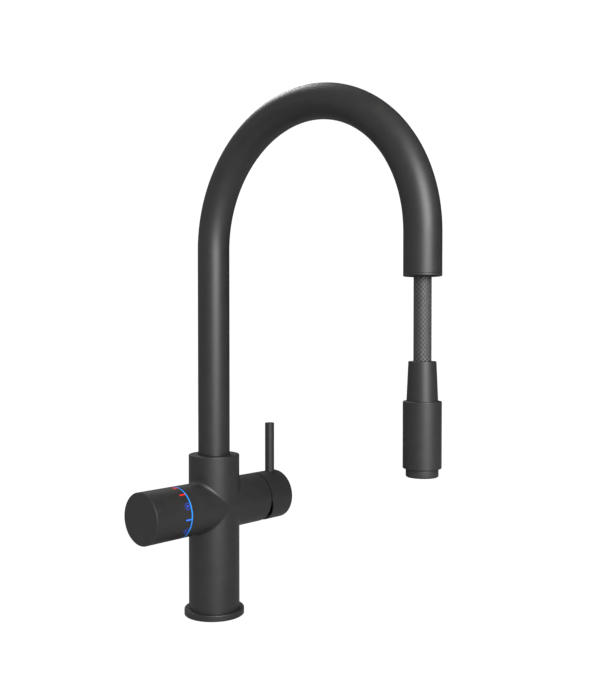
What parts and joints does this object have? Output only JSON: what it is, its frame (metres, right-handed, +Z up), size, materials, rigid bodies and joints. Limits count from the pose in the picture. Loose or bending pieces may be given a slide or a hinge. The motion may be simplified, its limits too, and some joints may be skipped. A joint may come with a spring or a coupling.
{
  "type": "boiling water tap",
  "caption": "Kitchen tap with a swan-neck swivel spout, pull-out spray head on a braided hose, boiling water knob and mixer lever.",
  "frame": {"origin": "on the column's axis, in the plane of the worktop, at the mouth of the mounting shank's socket", "axes": "+Z up along the column; -Y towards the spout's outlet; -X along the boiling valve to its knob; +X along the mixer valve to its lever"},
  "size_m": [0.1608, 0.2622, 0.448],
  "materials": {
    "black_coat": "matt powder coat",
    "rod_coat": "matt black, faint warm sheen",
    "indicator_blue": "bright blue",
    "brass": "turned",
    "steel": "turned",
    "ceramic_disc": "ground",
    "white_plastic": "moulded",
    "grey_plastic": "moulded",
    "blue_plastic": "moulded",
    "hose_braid": "grey fine braid over rubber",
    "line_plastic": "milky",
    "seal_rubber": "moulded"
  },
  "bodies": {
    "tap_body": {"column_body": "black_coat", "column_foot": "black_coat", "base_ring": "black_coat", "base_seal": "seal_rubber", "spout_stop_screw": "steel", "boil_valve": "brass", "boil_nut": "brass", "boil_disc_fixed": "ceramic_disc", "mixer_cartridge": "white_plastic", "cartridge_nut": "brass", "port_seals": "seal_rubber", "mixer_disc_fixed": "ceramic_disc"},
    "spout": {"spout_tube": "black_coat", "spout_foot": "brass", "slide_rings": "white_plastic", "spout_o_rings": "seal_rubber", "outlet_guide": "black_coat", "hose_inner": "hose_braid", "hose_free": "hose_braid", "boiling_line": "line_plastic", "boiling_line_free": "line_plastic"},
    "hose_end": {"hose_ferrule": "steel", "hose_nipple": "brass", "boiling_line_end": "line_plastic"},
    "spray_head": {"hose_cone": "black_coat", "hose_washer": "seal_rubber", "head_core": "white_plastic", "check_valve": "blue_plastic", "head_shell": "black_coat", "nozzle_neck": "black_coat", "aerator_seal": "seal_rubber", "aerator": "grey_plastic", "aerator_ring": "black_coat"},
    "knob": {"boil_disc_turning": "ceramic_disc", "boil_spindle": "brass", "knob_carrier": "white_plastic", "knob_shell": "black_coat", "indicator_ring": "indicator_blue", "knob_grub_screw": "steel"},
    "lever_turret": {"mixer_turret": "grey_plastic", "pivot_pin": "steel", "mixer_disc_moving": "ceramic_disc"},
    "lever": {"mixer_stem": "steel", "lever_cap": "black_coat", "lever_rod": "rod_coat", "lever_grub_screw": "steel"}
  },
  "joints": [
    {"name": "spout_swivel", "type": "hinge", "parent": "tap_body", "child": "spout", "pos_m": [0, 0, 0.13], "axis": [0, 0, 1], "range_deg": [-75, 75]},
    {"name": "hose_pull", "type": "slide", "parent": "spout", "child": "hose_end", "axis": [0, 0, 1], "range_m": [-0.14, 0.0894], "deforming": ["hose_free", "boiling_line_free"]},
    {"name": "head_spin", "type": "hinge", "parent": "hose_end", "child": "spray_head", "pos_m": [0, -0.2216, 0.21], "axis": [0, 0, 1], "continuous": true},
    {"name": "knob_turn", "type": "hinge", "parent": "tap_body", "child": "knob", "pos_m": [-0.06, 0, 0.0967], "axis": [1, 0, 0], "range_deg": [-90, 90]},
    {"name": "mixer_turn", "type": "hinge", "parent": "tap_body", "child": "lever_turret", "pos_m": [0.047, 0, 0.0967], "axis": [1, 0, 0], "range_deg": [-45, 45]},
    {"name": "mixer_lift", "type": "hinge", "parent": "lever_turret", "child": "lever", "pos_m": [0.047, 0, 0.0967], "axis": [0, 1, 0], "range_deg": [0, 18]}
  ]
}
